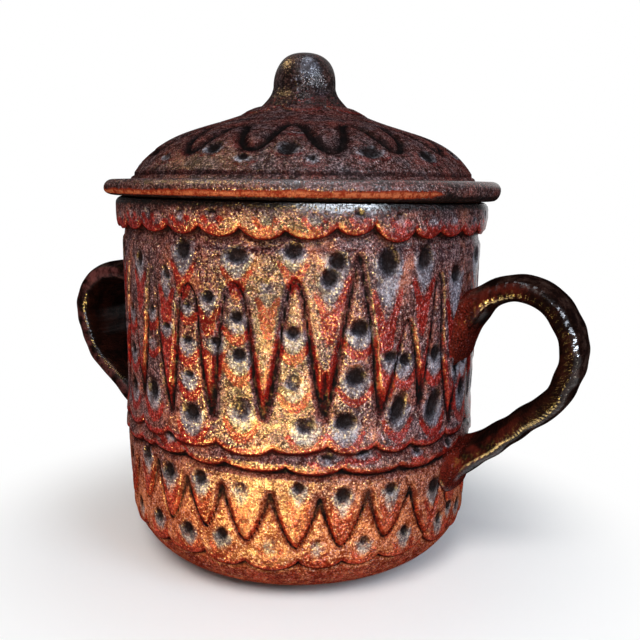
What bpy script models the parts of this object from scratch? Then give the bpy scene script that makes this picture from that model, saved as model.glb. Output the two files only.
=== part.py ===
"""Covered ceramic jar with two strap handles and a domed, knobbed lid.

Metres, +Z up. The origin is the middle of the foot on the table. One handle points
along +X and the other along -X. The jar, each handle, the lid and its knob are thrown
or pulled by themselves and meet face to face, with fit_gap between them.
"""
import math

import bmesh
import bpy

# Jar, thrown in one piece. Heights are above the table.
jar_height = 0.121
wall_radius = 0.060
wall_taper = 0.0013
heel_radius = wall_radius - wall_taper
wall_swell = 0.00044
heel_height = 0.0276
heel_reach = 0.0318
heel_roundness_share = 2.63
foot_inset = 0.0182
foot_radius = heel_radius - foot_inset
foot_rounding = 0.0006
foot_ring_width = 0.0065
foot_recess_depth = 0.0015
wall_thickness = 0.005
floor_thickness = 0.006

# Collar, the thick band under the rim: its rounded rim, a short upright face and a taper
# down to its scalloped lower edge.
rim_outer_rounding = 0.0024
rim_inner_rounding = 0.0015
collar_projection = 0.0024
collar_radius = wall_radius + collar_projection
collar_face_height = 0.0007
collar_taper_height = 0.0040
collar_edge_height = jar_height - rim_outer_rounding - collar_face_height - collar_taper_height
collar_edge_lip = 0.0010
collar_edge_rounding = 0.0007
scallop_drop = 0.0029
scallop_count = 32

# Strap handles. A centreline starts and ends handle_root_depth inside the wall, stands
# out from the wall by its projection and has its crown below the jar's rim by a drop.
handle_root_depth = 0.008
right_handle_flare_share = 1.43
left_handle_flare_share = 1.2
handle_section_roundness_share = 3.0
right_handle_projection = 0.0330
right_handle_crown_drop = 0.0254
right_handle_lower_height = 0.0332
right_handle_thickness = 0.0083
right_handle_width = 0.0174
left_handle_projection = 0.0322
left_handle_crown_drop = 0.0294
left_handle_lower_height = 0.0340
left_handle_thickness = 0.0087
left_handle_width = 0.0260

# Lid, thrown upside down and turned: a dome, a rounded rim and a locating ring.
lid_rim_overhang = 0.0037
lid_rim_radius = collar_radius + lid_rim_overhang
lid_rim_thickness = 0.0056
dome_edge_inset = 0.0084
dome_radius = lid_rim_radius - dome_edge_inset
dome_rise = 0.0231
dome_thickness = 0.005
locating_ring_depth = 0.008
locating_ring_thickness = 0.0035
locating_ring_clearance = 0.0012
locating_ring_rounding = 0.0008

# Wave, a groove cut round the dome. Its crests and troughs lie at shares of the dome's curve,
# from the crown down, and its first trough is a share of one wave round from +X. Below the
# shoulder's share the dome turns down steeply and is plain.
wave_count = 15
wave_groove_width = 0.0028
wave_groove_depth = 0.0010
wave_crest_share = 0.395
wave_trough_share = 0.815
wave_start_share = 0.75
dome_shoulder_share = 0.91

# Knob, a lump of clay luted to the flat crown of the dome.
knob_radius = 0.0102
knob_height = 0.0184
knob_bulb_height = 0.0115
knob_roundness_share = 2.6
knob_foot_radius = 0.0148
knob_foot_edge = 0.0008
knob_seat_margin = 0.0017

# Gap between pieces that touch, and how far a cutter runs past what it cuts.
fit_gap = 0.0003
cutter_overrun = 0.004
weld_distance = 0.00001

# Counts of facets round the pieces, and of points along the curves of their outlines.
facets_per_scallop = 4
jar_facets = scallop_count * facets_per_scallop
facets_per_wave = 6
lid_facets = wave_count * facets_per_wave
knob_facets = 30
heel_points = 7
dome_points = 5
rows_above_wave = 2
rows_below_wave = 3
measuring_points = 40
knob_points = 6
rounding_points = 3
section_points = 14
handle_resolution = 5

# Places along a handle's centreline: shares of its way out from the root, and of its
# height from the lower root up to the crown.
right_handle_shares = ((0.0, 0.65), (0.56, 1.0), (0.95, 0.84), (0.94, 0.535), (0.66, 0.34), (0.0, 0.0))
left_handle_shares = ((0.0, 0.83), (0.52, 1.0), (0.96, 0.87), (0.905, 0.49), (0.64, 0.31), (0.0, 0.0))

# The dome's curve leaves its edge steeply and comes up to the crown at a gentle slope:
# shares of its width and of its rise for the two control points.
dome_edge_shares = (0.23, 0.72)
dome_crown_shares = (0.45, 0.375)
knob_flare_shares = (0.18, 0.46)

# Colours of the fired glaze and of the bare clay, linear RGB.
jar_glaze_colour = (0.155, 0.048, 0.034)
handle_glaze_colour = (0.035, 0.010, 0.006)
lid_glaze_colour = (0.120, 0.040, 0.030)
knob_glaze_colour = (0.085, 0.032, 0.028)


def clear_scene():
    for thing in list(bpy.data.objects):
        bpy.data.objects.remove(thing, do_unlink=True)


def new_collection(name):
    collection = bpy.data.collections.new(name)
    bpy.context.scene.collection.children.link(collection)
    return collection


def glaze(name, colour, roughness):
    material = bpy.data.materials.new(name)
    material.use_nodes = True
    shader = material.node_tree.nodes["Principled BSDF"]
    shader.inputs["Base Color"].default_value = (*colour, 1.0)
    shader.inputs["Roughness"].default_value = roughness
    shader.inputs["Metallic"].default_value = 0.0
    return material


def arc(centre, radii, start, end, points, roundness=2.0):
    """Points of a superellipse arc, from start to end in quarter turns from +X."""
    outline = []
    for i in range(points + 1):
        angle = math.radians(90) * (start + (end - start) * i / points)
        across, up = math.cos(angle), math.sin(angle)
        outline.append((centre[0] + radii[0] * math.copysign(abs(across) ** (2 / roundness), across),
                        centre[1] + radii[1] * math.copysign(abs(up) ** (2 / roundness), up)))
    return outline


def bezier(start, start_handle, end_handle, end, points):
    outline = []
    for i in range(points + 1):
        t = i / points
        weights = ((1 - t) ** 3, 3 * t * (1 - t) ** 2, 3 * t ** 2 * (1 - t), t ** 3)
        corners = (start, start_handle, end_handle, end)
        outline.append(tuple(sum(w * c[axis] for w, c in zip(weights, corners)) for axis in (0, 1)))
    return outline


def offset_outline(outline, distance):
    """The outline moved to its left by a distance, without its two ends."""
    moved = []
    for before, here, after in zip(outline, outline[1:], outline[2:]):
        along = (after[0] - before[0], after[1] - before[1])
        length = math.hypot(*along)
        moved.append((here[0] - distance * along[1] / length, here[1] + distance * along[0] / length))
    return moved


def turned(name, outline, facets, collection):
    """A turned solid: an outline of (radius, height), down its outer side, swept round Z."""
    mesh = bpy.data.meshes.new(name)
    edges = [(i, i + 1) for i in range(len(outline) - 1)]
    mesh.from_pydata([(radius, 0.0, height) for radius, height in outline], edges, [])
    piece = bpy.data.objects.new(name, mesh)
    collection.objects.link(piece)
    screw = piece.modifiers.new("turn", "SCREW")
    screw.axis = "Z"
    screw.steps = facets
    screw.render_steps = facets
    screw.use_merge_vertices = True
    screw.merge_threshold = weld_distance
    return piece


def freeze(piece):
    """Replaces an object's mesh or curve by the closed mesh that its modifiers give."""
    bpy.context.view_layer.update()
    shape = bpy.data.meshes.new_from_object(piece.evaluated_get(bpy.context.evaluated_depsgraph_get()))
    work = bmesh.new()
    work.from_mesh(shape)
    bmesh.ops.remove_doubles(work, verts=work.verts, dist=weld_distance)
    work.to_mesh(shape)
    work.free()
    solid = bpy.data.objects.new(piece.name, shape)
    solid.matrix_world = piece.matrix_world
    name, home = piece.name, piece.users_collection[0]
    bpy.data.objects.remove(piece, do_unlink=True)
    home.objects.link(solid)
    solid.name = name
    return solid


def finish(piece, material, sharp_angle=40):
    piece.data.materials.clear()
    piece.data.materials.append(material)
    piece.data.shade_smooth()
    piece.data.set_sharp_from_angle(angle=math.radians(sharp_angle))


def wall_outline():
    """Outside of the jar from the collar down to the foot's edge."""
    wall = []
    top = collar_edge_height - scallop_drop - collar_edge_rounding
    for share in (1.0, 0.66, 0.33):
        radius = heel_radius + (wall_radius - heel_radius) * share + wall_swell * 4 * share * (1 - share)
        wall.append((radius, heel_height + (top - heel_height) * share))
    inset = 1 - (heel_radius - foot_radius) / heel_reach
    last_turn = 2 / math.pi * math.acos(inset ** (heel_roundness_share / 2))
    heel_centre = (heel_radius - heel_reach, heel_height)
    heel = arc(heel_centre, (heel_reach, heel_height), 0, -last_turn, heel_points, heel_roundness_share)
    return wall + heel


def inner_outline():
    """Inside of the jar from the middle of its floor up to the mouth."""
    mouth_radius = wall_radius - wall_thickness
    inner_radius = heel_radius - wall_thickness
    curve_height = heel_height - floor_thickness
    curve_reach = heel_reach - wall_thickness
    curve_centre = (inner_radius - curve_reach, heel_height)
    curve = arc(curve_centre, (curve_reach, curve_height), -1, 0, heel_points - 2, heel_roundness_share)
    return [(0.0, floor_thickness)] + curve + [(mouth_radius, collar_edge_height)]


def jar_outline():
    mouth_radius = wall_radius - wall_thickness
    rim_inside = arc((mouth_radius + rim_inner_rounding, jar_height - rim_inner_rounding),
                     (rim_inner_rounding, rim_inner_rounding), 2, 1, rounding_points - 1)
    rim_outside = arc((collar_radius - rim_outer_rounding, jar_height - rim_outer_rounding),
                      (rim_outer_rounding, rim_outer_rounding), 1, 0, rounding_points)
    lip_radius = wall_radius + collar_edge_lip
    taper = arc((lip_radius, collar_edge_height + collar_taper_height),
                (collar_radius - lip_radius, collar_taper_height), 0, -1, rounding_points - 1)
    collar_root = [(wall_radius, collar_edge_height - collar_edge_rounding)]
    wall = wall_outline()
    foot_edge = [(foot_radius - foot_rounding, 0.0)]
    ring_inside = foot_radius - foot_ring_width
    recess = [(ring_inside, 0.0), (ring_inside - foot_recess_depth, foot_recess_depth), (0.0, foot_recess_depth)]
    return inner_outline() + rim_inside + rim_outside + taper + collar_root + wall + foot_edge + recess


def scallop_collar(jar):
    """Draws the collar's lower edge down into round lobes with a notch between each two."""
    lowest = collar_edge_height - collar_edge_rounding - weld_distance
    for vertex in jar.data.vertices:
        x, y, z = vertex.co
        if z > lowest and math.hypot(x, y) > wall_radius - weld_distance:
            turn = math.atan2(y, x) * scallop_count / (2 * math.pi)
            across = 2 * (turn - math.floor(turn)) - 1
            pull = min(1.0, max(0.0, 1 - (z - collar_edge_height) / collar_taper_height))
            vertex.co.z -= pull * scallop_drop * math.sqrt(max(0.0, 1 - across * across))


def make_jar(parts):
    jar = freeze(turned("jar_body", jar_outline(), jar_facets, parts))
    scallop_collar(jar)
    finish(jar, glaze("jar_glaze", jar_glaze_colour, 0.32))
    return jar


def wall_cutter(cutters):
    """The jar's outside, larger by the fit gap: it shapes a handle's ends to the wall."""
    outline = [(radius + fit_gap, height) for radius, height in wall_outline()]
    top = collar_edge_height + cutter_overrun
    cutter = turned("wall_cutter", [(0.0, top), (outline[0][0], top)] + outline + [(0.0, outline[-1][1])],
                    jar_facets, cutters)
    cutter.hide_render = True
    cutter.display_type = "WIRE"
    return cutter


def strap_section(name, thickness, width, cutters):
    """Cross-section of a pulled strap: flat faces and well rounded edges."""
    outline = arc((0.0, 0.0), (width / 2, thickness / 2), 4, 0, section_points,
                  handle_section_roundness_share)[:-1]
    curve = bpy.data.curves.new(name, "CURVE")
    curve.dimensions = "2D"
    curve.fill_mode = "NONE"
    spline = curve.splines.new("POLY")
    spline.points.add(len(outline) - 1)
    for point, (x, y) in zip(spline.points, outline):
        point.co = (x, y, 0.0, 1.0)
    spline.use_cyclic_u = True
    section = bpy.data.objects.new(name, curve)
    cutters.objects.link(section)
    section.hide_render = True
    section.display_type = "WIRE"
    return section


def strap_handle(name, azimuth, size, shares, cutter, parts, cutters):
    """A pulled strap: one bent curve, flared where it joins the wall, cut to the wall's face."""
    curve = bpy.data.curves.new(name, "CURVE")
    curve.dimensions = "3D"
    curve.resolution_u = handle_resolution
    curve.use_fill_caps = True
    curve.bevel_mode = "OBJECT"
    curve.bevel_object = strap_section(name + "_section", size["thickness"], size["width"], cutters)
    spline = curve.splines.new("BEZIER")
    spline.bezier_points.add(len(shares) - 1)
    root_radius = wall_radius - handle_root_depth
    crown_height = jar_height - size["crown_drop"]
    for point, (out_share, up_share) in zip(spline.bezier_points, shares):
        out = root_radius + (handle_root_depth + size["projection"]) * out_share
        up = (crown_height - size["lower_height"]) * up_share
        point.co = (out, 0.0, up)
        point.handle_left_type = "AUTO"
        point.handle_right_type = "AUTO"
        point.radius = 1.0
    spline.bezier_points[0].radius = size["flare_share"]
    spline.bezier_points[-1].radius = size["flare_share"]
    strap = bpy.data.objects.new(name, curve)
    strap.location = (0.0, 0.0, size["lower_height"])
    strap.rotation_euler = (0.0, 0.0, azimuth)
    parts.objects.link(strap)
    handle = freeze(strap)
    cut = handle.modifiers.new("cut to the wall", "BOOLEAN")
    cut.operation = "DIFFERENCE"
    cut.solver = "EXACT"
    cut.object = cutter
    finish(handle, glaze(name + "_glaze", handle_glaze_colour, 0.2))
    return handle


def make_handles(parts, cutters):
    cutter = wall_cutter(cutters)
    right = {"projection": right_handle_projection, "crown_drop": right_handle_crown_drop,
             "lower_height": right_handle_lower_height, "thickness": right_handle_thickness,
             "width": right_handle_width, "flare_share": right_handle_flare_share}
    left = {"projection": left_handle_projection, "crown_drop": left_handle_crown_drop,
            "lower_height": left_handle_lower_height, "thickness": left_handle_thickness,
            "width": left_handle_width, "flare_share": left_handle_flare_share}
    strap_handle("handle_right", 0.0, right, right_handle_shares, cutter, parts, cutters)
    strap_handle("handle_left", math.pi, left, left_handle_shares, cutter, parts, cutters)


def dome_outline(points):
    """Smooth outside of the lid's dome from its flat crown down to the rim."""
    crown_radius = knob_foot_radius + knob_seat_margin
    run = dome_radius - crown_radius
    foot_height = lid_rim_thickness
    crown = (crown_radius, foot_height + dome_rise)
    edge = (dome_radius, foot_height)
    crown_handle = (crown[0] + run * dome_crown_shares[0], crown[1] - dome_rise * dome_crown_shares[1])
    edge_handle = (edge[0] - run * dome_edge_shares[0], edge[1] + dome_rise * dome_edge_shares[1])
    return bezier(crown, crown_handle, edge_handle, edge, points)


def place_along(outline, share):
    """The place that lies a share of the way along an outline."""
    lengths = [math.dist(here, after) for here, after in zip(outline, outline[1:])]
    rest = share * sum(lengths)
    for here, after, length in zip(outline, outline[1:], lengths):
        if rest <= length or after is outline[-1]:
            part = rest / length
            return (here[0] + part * (after[0] - here[0]), here[1] + part * (after[1] - here[1]))
        rest -= length


def dome_rows(turn):
    """Outside of the dome from its crown to the rim, at a turn of the wave from its trough:
    plain rows, then the groove's upper lip, floor and lower lip, then plain rows again."""
    dome = dome_outline(measuring_points)
    swing = (wave_trough_share - wave_crest_share) / 2
    middle = wave_crest_share + swing * (1 + math.cos(turn))
    length = sum(math.dist(here, after) for here, after in zip(dome, dome[1:]))
    slope = swing * length * math.sin(turn) * wave_count / place_along(dome, middle)[0]
    lip = wave_groove_width / 2 / length * math.hypot(1, slope)
    above = [(middle - lip) * i / rows_above_wave for i in range(rows_above_wave + 1)]
    land = dome_shoulder_share - middle - lip
    below = [middle + lip + land * i / rows_below_wave for i in range(rows_below_wave + 1)] + [1.0]
    upper, lower = place_along(dome, above[-1]), place_along(dome, below[0])
    width = math.dist(upper, lower)
    radius, height = place_along(dome, middle)
    floor = (radius + wave_groove_depth * (lower[1] - upper[1]) / width,
             height - wave_groove_depth * (lower[0] - upper[0]) / width)
    return [place_along(dome, share) for share in above] + [floor] + [place_along(dome, share) for share in below]


def lid_outline():
    """Outline of the lid above its seat on the rim, from the crown round to the inside."""
    dome = dome_rows(math.radians(90))
    crown_height = dome[0][1]
    nose = lid_rim_thickness / 2
    rim = arc((lid_rim_radius - nose, nose), (nose, nose), 1, -1, 2 * rounding_points)
    ring_outside = wall_radius - wall_thickness - locating_ring_clearance
    ring_inside = ring_outside - locating_ring_thickness
    bottom = locating_ring_rounding - locating_ring_depth
    ring = [(ring_outside, 0.0), (ring_outside, bottom)]
    ring += [(ring_outside - locating_ring_rounding, -locating_ring_depth)]
    ring += [(ring_inside + locating_ring_rounding, -locating_ring_depth), (ring_inside, bottom)]
    under = [point for point in offset_outline(dome_outline(dome_points), -dome_thickness)
             if point[0] < ring_inside]
    under.reverse()
    widest = under[0]
    shoulder = [(ring_inside, widest[1] - (ring_inside - widest[0]))]
    middle = [(0.0, crown_height - dome_thickness)]
    return [(0.0, crown_height)] + dome + rim + ring + shoulder + under + middle


def wave_dome(lid):
    """Swings the dome's rows up and down round the lid, so that the groove runs in a wave."""
    rows = dome_rows(math.radians(90))
    for vertex in lid.data.vertices:
        x, y, z = vertex.co
        radius = math.hypot(x, y)
        turn = math.atan2(y, x) * wave_count - wave_start_share * 2 * math.pi
        for place, moved in zip(rows, dome_rows(turn)):
            if math.dist((radius, z), place) < weld_distance:
                vertex.co = (x * moved[0] / radius, y * moved[0] / radius, moved[1])
                break


def knob_outline():
    """Outline of the knob above its seat, from its top down to its foot."""
    belly = knob_height - knob_bulb_height
    bulb = arc((0.0, belly), (knob_radius, knob_bulb_height), 1, 0, knob_points, knob_roundness_share)
    foot = (knob_foot_radius, knob_foot_edge)
    spread = knob_foot_radius - knob_radius
    bend = (knob_radius + spread * knob_flare_shares[0], belly - (belly - foot[1]) * knob_flare_shares[1])
    flare = bezier(bulb[-1], bend, bend, foot, knob_points - 2)[1:]
    return bulb + flare + [(knob_foot_radius, 0.0), (0.0, 0.0)]


def make_lid(parts):
    seat = bpy.data.objects.new("lid_seat", None)
    seat.location = (0.0, 0.0, jar_height + fit_gap)
    parts.objects.link(seat)
    lid = freeze(turned("lid", lid_outline(), lid_facets, parts))
    wave_dome(lid)
    lid.parent = seat
    finish(lid, glaze("lid_glaze", lid_glaze_colour, 0.35))
    knob = freeze(turned("lid_knob", knob_outline(), knob_facets, parts))
    knob.parent = seat
    knob.location = (0.0, 0.0, lid_rim_thickness + dome_rise + fit_gap)
    finish(knob, glaze("knob_glaze", knob_glaze_colour, 0.3))


def main():
    clear_scene()
    parts = new_collection("covered_ceramic_jar")
    cutters = new_collection("cutters")
    make_jar(parts)
    make_handles(parts, cutters)
    make_lid(parts)
    bpy.context.view_layer.update()


main()
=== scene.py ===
import math

import bpy
import numpy as np
from mathutils import Matrix, Quaternion, Vector


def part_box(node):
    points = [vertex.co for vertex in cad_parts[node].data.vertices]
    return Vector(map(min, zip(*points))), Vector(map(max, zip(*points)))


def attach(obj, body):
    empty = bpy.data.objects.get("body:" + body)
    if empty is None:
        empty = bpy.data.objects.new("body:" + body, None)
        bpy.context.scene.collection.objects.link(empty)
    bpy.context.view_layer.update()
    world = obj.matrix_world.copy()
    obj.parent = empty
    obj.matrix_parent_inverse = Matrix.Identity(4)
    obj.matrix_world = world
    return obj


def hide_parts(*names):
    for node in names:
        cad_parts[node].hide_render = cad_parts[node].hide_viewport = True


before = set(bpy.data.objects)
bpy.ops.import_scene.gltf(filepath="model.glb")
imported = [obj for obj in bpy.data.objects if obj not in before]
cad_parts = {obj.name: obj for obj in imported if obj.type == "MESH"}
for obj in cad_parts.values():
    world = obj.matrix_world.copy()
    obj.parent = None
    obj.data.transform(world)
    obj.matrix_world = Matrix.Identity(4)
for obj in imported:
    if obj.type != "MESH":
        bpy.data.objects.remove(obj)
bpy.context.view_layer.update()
mm = 0.001  # sizes in the pieces' dictionaries are in millimetres, angles in degrees
samePoint = 0.01 * mm  # points nearer than this are merged
photoTurn = 27.84  # degrees from the x axis to the photograph's right
luck = np.random.default_rng(11)
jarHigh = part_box("jar_body")[1] / mm
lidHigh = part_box("lid")[1] / mm
knobLow, knobHigh = (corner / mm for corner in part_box("lid_knob"))
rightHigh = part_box("handle_right")[1] / mm
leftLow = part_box("handle_left")[0] / mm
print("frame loaded:", ", ".join(sorted(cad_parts)))


# Outlines, as lists of (radius, height)
def roundedArc(centre, radii, start, end, points, roundness=2.0):  # start and end in quarter turns
    run = []
    for i in range(points + 1):
        angle = math.radians(90) * (start + (end - start) * i / points)
        across, up = math.cos(angle), math.sin(angle)
        run.append((centre[0] + radii[0] * math.copysign(abs(across) ** (2 / roundness), across),
                    centre[1] + radii[1] * math.copysign(abs(up) ** (2 / roundness), up)))
    return run


def bezierRun(start, startHandle, endHandle, end, points):
    t = np.linspace(0, 1, points + 1)[:, None]
    a, b, c, d = (np.array(p, float) for p in (start, startHandle, endHandle, end))
    run = (1 - t) ** 3 * a + 3 * t * (1 - t) ** 2 * b + 3 * t * t * (1 - t) * c + t ** 3 * d
    return [tuple(p) for p in run]


def lengthAlong(run):  # from its first point to each point
    return np.concatenate(([0.0], np.cumsum(np.hypot(*np.diff(run, axis=0).T))))


def evenly(run, gap):  # the same line with its points about one gap apart
    run = np.array(run, float)
    lengths = lengthAlong(run)
    places = np.linspace(0, lengths[-1], max(2, int(round(lengths[-1] / gap)) + 1))
    return list(zip(np.interp(places, lengths, run[:, 0]), np.interp(places, lengths, run[:, 1])))


def joined(*runs):  # runs end to end, each shared point once
    line = []
    for run in runs:
        for point in run:
            if not line or math.dist(line[-1], point) > 0.02:
                line.append((float(point[0]), float(point[1])))
    return line


# Pieces: one point is pulled along an outline, and the line is turned round the axis
def deselectAll():
    if bpy.context.object and bpy.context.object.mode != "OBJECT":
        bpy.ops.object.mode_set(mode="OBJECT")
    bpy.ops.object.select_all(action="DESELECT")


def pick(piece):  # this one alone, selected and active
    deselectAll()
    piece.select_set(True)
    bpy.context.view_layer.objects.active = piece


def reshape(piece, kind, **settings):  # a modifier, applied at once
    modifier = piece.modifiers.new(kind.lower(), kind)
    for name, value in settings.items():
        setattr(modifier, name, value)
    bpy.ops.object.modifier_apply(modifier=modifier.name)


def turnOutline(name, outline, columns):
    deselectAll()
    bpy.ops.mesh.primitive_plane_add(size=mm, location=(0, 0, 0))
    piece = bpy.context.object
    piece.name = name
    bpy.ops.object.mode_set(mode="EDIT")
    bpy.ops.mesh.select_all(action="SELECT")
    bpy.ops.mesh.merge(type="CENTER")
    bpy.ops.transform.translate(value=(outline[0][0] * mm, 0, outline[0][1] * mm))
    for before, here in zip(outline, outline[1:]):
        step = ((here[0] - before[0]) * mm, 0, (here[1] - before[1]) * mm)
        bpy.ops.mesh.extrude_vertices_move(TRANSFORM_OT_translate={"value": step})
    bpy.ops.object.mode_set(mode="OBJECT")
    reshape(piece, "SCREW", steps=columns, render_steps=columns,
            use_merge_vertices=True, merge_threshold=samePoint)
    facesOutward(piece)
    return piece


def facesOutward(piece):
    pick(piece)
    bpy.ops.object.mode_set(mode="EDIT")
    bpy.ops.mesh.select_all(action="SELECT")
    bpy.ops.mesh.remove_doubles(threshold=samePoint)
    bpy.ops.mesh.normals_make_consistent(inside=False)
    bpy.ops.object.mode_set(mode="OBJECT")
    bpy.ops.object.shade_smooth()


def readPoints(piece):  # places in millimetres and the directions that they face
    places, faces = (np.zeros(len(piece.data.vertices) * 3) for _ in range(2))
    piece.data.vertices.foreach_get("co", places)
    piece.data.vertex_normals.foreach_get("vector", faces)
    return places.reshape(-1, 3) / mm, faces.reshape(-1, 3)


def readTurned(piece):  # the same, with each point's angle in degrees and its radius
    places, faces = readPoints(piece)
    angle = np.degrees(np.arctan2(places[:, 1], places[:, 0]))
    return places, faces, angle, np.hypot(places[:, 0], places[:, 1])


def writePoints(piece, places):
    piece.data.vertices.foreach_set("co", (places * mm).astype(np.float32).ravel())
    piece.data.update()


def paint(piece, **masks):  # values at the points, for the material to read
    for name, values in masks.items():
        mask = piece.data.attributes.new(name, "FLOAT", "POINT")
        mask.data.foreach_set("value", values.astype(np.float32))


def place(piece, body, slot, material, *nodes):
    piece.data.materials.clear()
    piece.data.materials.append(material)
    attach(piece, body)
    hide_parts(*nodes)
    print(piece.name, "made:", len(piece.data.polygons), "faces")


# Drawing on a round wall: an angle round the axis and a height up the wall
farGroove, farPit = 6.0, 4.0  # what these two masks say away from any cut line and any dot
lineReach = 9  # degrees and millimetres beside a cut line where its distance is still worked out
# A dot changes what is near it, to the sides and up and down. Its pale run is wider than it by spread and
# margin, and narrows to a point or hardly at all.
dotRun = {"near": (14, 26), "spread": 1.35, "margin": 1.9, "pointed": 0.62, "blunt": 0.15}


def around(angle, centre):  # degrees from centre, the short way round
    return (angle - centre + 180) % 360 - 180


def easy(value, low, high):  # 0 at low, 1 at high, smooth between
    t = np.clip((value - low) / (high - low), 0, 1)
    return t * t * (3 - 2 * t)


def band(value, *sides):  # 1 between the middle two of four sides, 0 beyond the outer two
    return easy(value, *sides[:2]) * (1 - easy(value, *sides[2:]))


def window(angle, centre, *sides):  # the same, in degrees from centre
    return band(around(angle, centre), *sides)


def most(*masks):  # the strongest of them at each point
    return np.maximum.reduce(masks)


def drift(amount):
    return float(luck.uniform(-amount, amount))


def drifted(row):  # one more entry like those of the row, without its angle
    return [middle + drift(play) for middle, play in row["back"]]


def goRound(row):  # the entries in front, then more like them round the back, one pitch apart
    front = row["front"]
    gap = front[0][0] + 360 - front[-1][0]
    count = max(1, round(gap / row["pitch"]))
    return front + [(front[-1][0] + gap * k / count, *drifted(row)) for k in range(1, count)]


def between(entries, start):  # angles half way between neighbours, from an entry on
    angles = [e[0] for e in entries] + [entries[0][0] + 360]
    return [(a + b) / 2 for a, b in zip(angles[start:], angles[start + 1:])]


def smoothLine(points, steps=8):  # a smooth curve through given points
    p = np.array([points[0], *points, points[-1]], float)
    t = np.linspace(0, 1, steps, endpoint=False)[:, None]
    runs = []
    for a, b, c, d in zip(p, p[1:], p[2:], p[3:]):
        runs.append(b + 0.5 * t * (c - a + t * (2 * a - 5 * b + 4 * c - d + t * (3 * (b - c) + d - a))))
    return np.concatenate(runs + [p[-1:]])


def strokeDistance(angle, height, line, width, perDegree, found):
    # Lowers found to the distance from the line, counted in half widths of the stroke there.
    # Width runs from its first value to its last one along the line.
    widths = np.interp(np.linspace(0, 1, len(line)), np.linspace(0, 1, len(width)), width)
    middle = line[:, 0].mean()
    reach = (line[:, 0].max() - line[:, 0].min()) / 2 + lineReach
    near = np.nonzero((np.abs(around(angle, middle)) < reach) & (height > line[:, 1].min() - lineReach)
                      & (height < line[:, 1].max() + lineReach))[0]
    x = around(angle[near], middle) * perDegree[near]
    y = height[near]
    best = found[near]
    for (a0, h0), (a1, h1), w0, w1 in zip(line, line[1:], widths, widths[1:]):
        x0, x1 = (a0 - middle) * perDegree[near], (a1 - middle) * perDegree[near]
        dx, dy = x1 - x0, h1 - h0
        t = np.clip(((x - x0) * dx + (y - h0) * dy) / (dx * dx + dy * dy + 1e-9), 0, 1)
        best = np.minimum(best, np.hypot(x - x0 - t * dx, y - h0 - t * dy) / (w0 + (w1 - w0) * t))
    found[near] = best


def lobedEdge(angle, notches, roundness=0.6):  # notches: (angle, height, drop of the lobe after it)
    first = notches[0][0]
    places = np.array([n[0] - first for n in notches] + [360.0])
    heights = np.array([n[1] for n in notches] + [notches[0][1]])
    drops = np.array([n[2] for n in notches])
    turn = (angle - first) % 360
    which = np.clip(np.searchsorted(places, turn, side="right") - 1, 0, len(notches) - 1)
    share = (turn - places[which]) / (places[which + 1] - places[which])
    line = heights[which] + (heights[which + 1] - heights[which]) * share
    return line - drops[which] * (1 - (2 * share - 1) ** 2) ** roundness


def spots(angle, height, perDegree, dots, pointed):
    # Each dot: angle, height, half width, half height, lean, how far its pale run falls, how dark it is.
    # Pointed says whether a place lies in a drip, where the pale run narrows to a point.
    pit = np.full(angle.shape, farPit)
    dark, halo, iron = (np.zeros(angle.shape) for _ in range(3))
    for dotAngle, dotHeight, wide, high, lean, fall, depth in dots:
        narrow = dotRun["pointed" if pointed(dotAngle, dotHeight) else "blunt"]
        across, up = around(angle, dotAngle) * perDegree, height - dotHeight
        near = np.nonzero((np.abs(across) < dotRun["near"][0]) & (np.abs(up) < dotRun["near"][1]))[0]
        across, up = across[near], up[near]
        turn = math.radians(lean)
        x = across * math.cos(turn) - up * math.sin(turn)
        y = across * math.sin(turn) + up * math.cos(turn)
        inside = np.hypot(x / wide, y / high)
        closer = inside < pit[near]
        dark[near] = np.where(closer, depth, dark[near])
        pit[near] = np.minimum(pit[near], inside)
        below = np.clip(-up / fall, 0, 1)
        spread = (dotRun["spread"] * wide + dotRun["margin"]) * (1 - narrow * below)
        drop = np.hypot(across / spread, np.where(up < 0, up / fall, up / (high + 0.9)))
        rim = (drop - 1) * np.minimum(spread, fall)  # about millimetres outside the pale run
        strength = 0.45 + 0.55 * min(1.0, depth + 0.2)
        strength = strength * (0.45 + 0.55 * easy(-up, -0.6 * high, 0.8 * high))
        halo[near] = np.maximum(halo[near], strength * (1 - easy(rim, -1.7, 0.5)))
        swag = band(rim, -0.9, 0.0, 0.7, 2.2) * easy(-up, 0.2 * fall, 0.6 * fall)
        iron[near] = most(iron[near], swag)
    return pit, dark, halo, iron


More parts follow.
